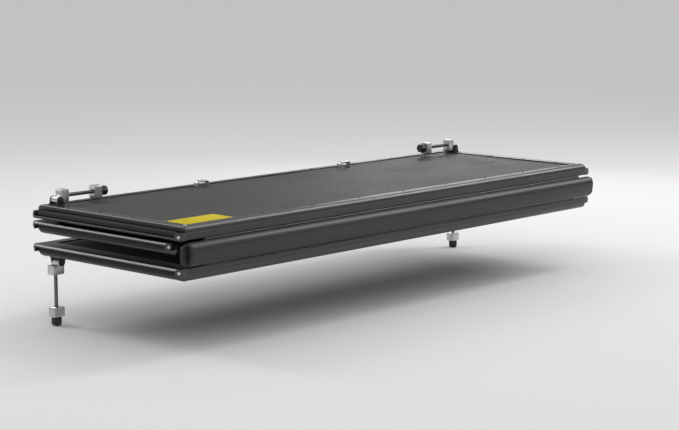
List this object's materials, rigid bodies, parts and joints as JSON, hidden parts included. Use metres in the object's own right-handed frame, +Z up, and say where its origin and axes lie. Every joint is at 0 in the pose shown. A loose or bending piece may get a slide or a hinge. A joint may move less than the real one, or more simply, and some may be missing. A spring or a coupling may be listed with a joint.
{
  "type": "tonneau cover",
  "caption": "Hard folding pickup bed cover, stacked open at the cab end: framed black panels, a rounded hinge spine, edge seals and screw clamps for the bed rails.",
  "frame": {"origin": "middle of the front panel's seat, on the plane of the bed rail tops", "axes": "+X to the passenger side across the bed, +Y forward to the cab, +Z up"},
  "size_m": [1.65, 0.5833, 0.3418],
  "materials": {
    "board": "fine pebble grain, matt black fibre reinforced skin",
    "rail": "black powder coat",
    "spine": "black powder coat",
    "cap": "moulded black plastic",
    "rubber": "black foam rubber",
    "hinge": "black anodised",
    "bright": "cast, satin",
    "steel": "dark zinc plate",
    "yellow": "blank yellow film"
  },
  "bodies": {
    "front_panel": {"front_panel_board": "board", "front_panel_rail_rear": "rail", "front_panel_rail_nose": "rail", "front_panel_rail_left": "rail", "front_panel_rail_right": "rail", "front_panel_seal_left": "rubber", "front_panel_seal_right": "rubber", "bulkhead_seal": "rubber", "front_hinge_panel_leaf": "hinge", "front_hinge_pin": "steel", "front_clamp_left_base": "cap", "front_clamp_right_base": "cap"},
    "spine": {"spine_bar": "spine", "spine_cap_left": "cap", "spine_cap_right": "cap", "front_hinge_spine_leaf": "hinge", "middle_hinge_spine_leaf": "hinge", "middle_hinge_pin": "steel"},
    "middle_panel": {"middle_panel_board": "board", "middle_panel_rail_rear": "rail", "middle_panel_rail_nose": "rail", "middle_panel_rail_left": "rail", "middle_panel_rail_right": "rail", "middle_panel_seal_left": "rubber", "middle_panel_seal_right": "rubber", "middle_hinge_panel_leaf": "hinge", "rear_hinge_middle_leaf": "hinge", "rear_hinge_pin": "steel", "yellow_patch": "yellow", "strap_loop_left": "bright", "strap_loop_right": "bright", "middle_clamp_left_base": "cap", "middle_clamp_right_base": "cap"},
    "rear_panel": {"rear_panel_board": "board", "rear_panel_rail_rear": "rail", "rear_panel_rail_nose": "rail", "rear_panel_rail_left": "rail", "rear_panel_rail_right": "rail", "rear_panel_seal_left": "rubber", "rear_panel_seal_right": "rubber", "tailgate_seal": "rubber", "rear_hinge_rear_leaf": "hinge", "tail_rest": "rubber"},
    "front_clamp_left_arm": {"front_clamp_left_arm": "bright"},
    "front_clamp_left_jaw": {"front_clamp_left_jaw": "bright"},
    "front_clamp_left_screw": {"front_clamp_left_rod": "steel", "front_clamp_left_knob": "cap"},
    "middle_clamp_left_arm": {"middle_clamp_left_arm": "bright"},
    "middle_clamp_left_jaw": {"middle_clamp_left_jaw": "bright"},
    "middle_clamp_left_screw": {"middle_clamp_left_rod": "steel", "middle_clamp_left_knob": "cap"},
    "front_clamp_right_arm": {"front_clamp_right_arm": "bright"},
    "front_clamp_right_jaw": {"front_clamp_right_jaw": "bright"},
    "front_clamp_right_screw": {"front_clamp_right_rod": "steel", "front_clamp_right_knob": "cap"},
    "middle_clamp_right_arm": {"middle_clamp_right_arm": "bright"},
    "middle_clamp_right_jaw": {"middle_clamp_right_jaw": "bright"},
    "middle_clamp_right_screw": {"middle_clamp_right_rod": "steel", "middle_clamp_right_knob": "cap"}
  },
  "joints": [
    {"name": "middle_panel_fold", "type": "hinge", "parent": "spine", "child": "middle_panel", "pos_m": [0, -0.2725, 0.082], "axis": [1, 0, 0], "range_deg": [0, 90]},
    {"name": "spine_fold", "type": "hinge", "parent": "front_panel", "child": "spine", "pos_m": [0, -0.2725, 0.024], "axis": [1, 0, 0], "range_deg": [0, 90]},
    {"name": "rear_panel_fold", "type": "hinge", "parent": "middle_panel", "child": "rear_panel", "pos_m": [0, 0.2725, 0.082], "axis": [1, 0, 0], "range_deg": [-0.7, 0]},
    {"name": "front_clamp_left_swing", "type": "hinge", "parent": "front_panel", "child": "front_clamp_left_arm", "pos_m": [-0.7835, 0.2205, -0.026], "axis": [0, -1, 0], "range_deg": [0, 90]},
    {"name": "front_clamp_left_turn", "type": "hinge", "parent": "front_clamp_left_arm", "child": "front_clamp_left_screw", "pos_m": [-0.7925, 0.2205, -0.076], "axis": [0, 0, -1], "range_deg": [0, 3600]},
    {"name": "front_clamp_left_grip", "type": "slide", "parent": "front_clamp_left_arm", "child": "front_clamp_left_jaw", "axis": [0, 0, 1], "range_m": [0, 0.06]},
    {"name": "middle_clamp_left_swing", "type": "hinge", "parent": "middle_panel", "child": "middle_clamp_left_arm", "pos_m": [-0.7835, 0.2205, 0.132], "axis": [0, -1, 0], "range_deg": [0, 90]},
    {"name": "middle_clamp_left_turn", "type": "hinge", "parent": "middle_clamp_left_arm", "child": "middle_clamp_left_screw", "pos_m": [-0.7335, 0.2205, 0.141], "axis": [1, 0, 0], "range_deg": [0, 3600]},
    {"name": "middle_clamp_left_grip", "type": "slide", "parent": "middle_clamp_left_arm", "child": "middle_clamp_left_jaw", "axis": [-1, 0, 0], "range_m": [0, 0.06]},
    {"name": "front_clamp_right_swing", "type": "hinge", "parent": "front_panel", "child": "front_clamp_right_arm", "pos_m": [0.7835, 0.2205, -0.026], "axis": [0, 1, 0], "range_deg": [0, 90]},
    {"name": "front_clamp_right_turn", "type": "hinge", "parent": "front_clamp_right_arm", "child": "front_clamp_right_screw", "pos_m": [0.7925, 0.2205, -0.076], "axis": [0, 0, -1], "range_deg": [0, 3600]},
    {"name": "front_clamp_right_grip", "type": "slide", "parent": "front_clamp_right_arm", "child": "front_clamp_right_jaw", "axis": [0, 0, 1], "range_m": [0, 0.06]},
    {"name": "middle_clamp_right_swing", "type": "hinge", "parent": "middle_panel", "child": "middle_clamp_right_arm", "pos_m": [0.7835, 0.2205, 0.132], "axis": [0, 1, 0], "range_deg": [0, 90]},
    {"name": "middle_clamp_right_turn", "type": "hinge", "parent": "middle_clamp_right_arm", "child": "middle_clamp_right_screw", "pos_m": [0.7335, 0.2205, 0.141], "axis": [-1, 0, 0], "range_deg": [0, 3600]},
    {"name": "middle_clamp_right_grip", "type": "slide", "parent": "middle_clamp_right_arm", "child": "middle_clamp_right_jaw", "axis": [1, 0, 0], "range_m": [0, 0.06]}
  ],
  "couplings": [
    {"joint": "spine_fold", "follows": "middle_panel_fold", "ratio": 1},
    {"joint": "front_clamp_left_turn", "follows": "front_clamp_left_grip", "rad_per_m": 1047.2},
    {"joint": "middle_clamp_left_turn", "follows": "middle_clamp_left_grip", "rad_per_m": 1047.2},
    {"joint": "front_clamp_right_turn", "follows": "front_clamp_right_grip", "rad_per_m": 1047.2},
    {"joint": "middle_clamp_right_turn", "follows": "middle_clamp_right_grip", "rad_per_m": 1047.2}
  ]
}
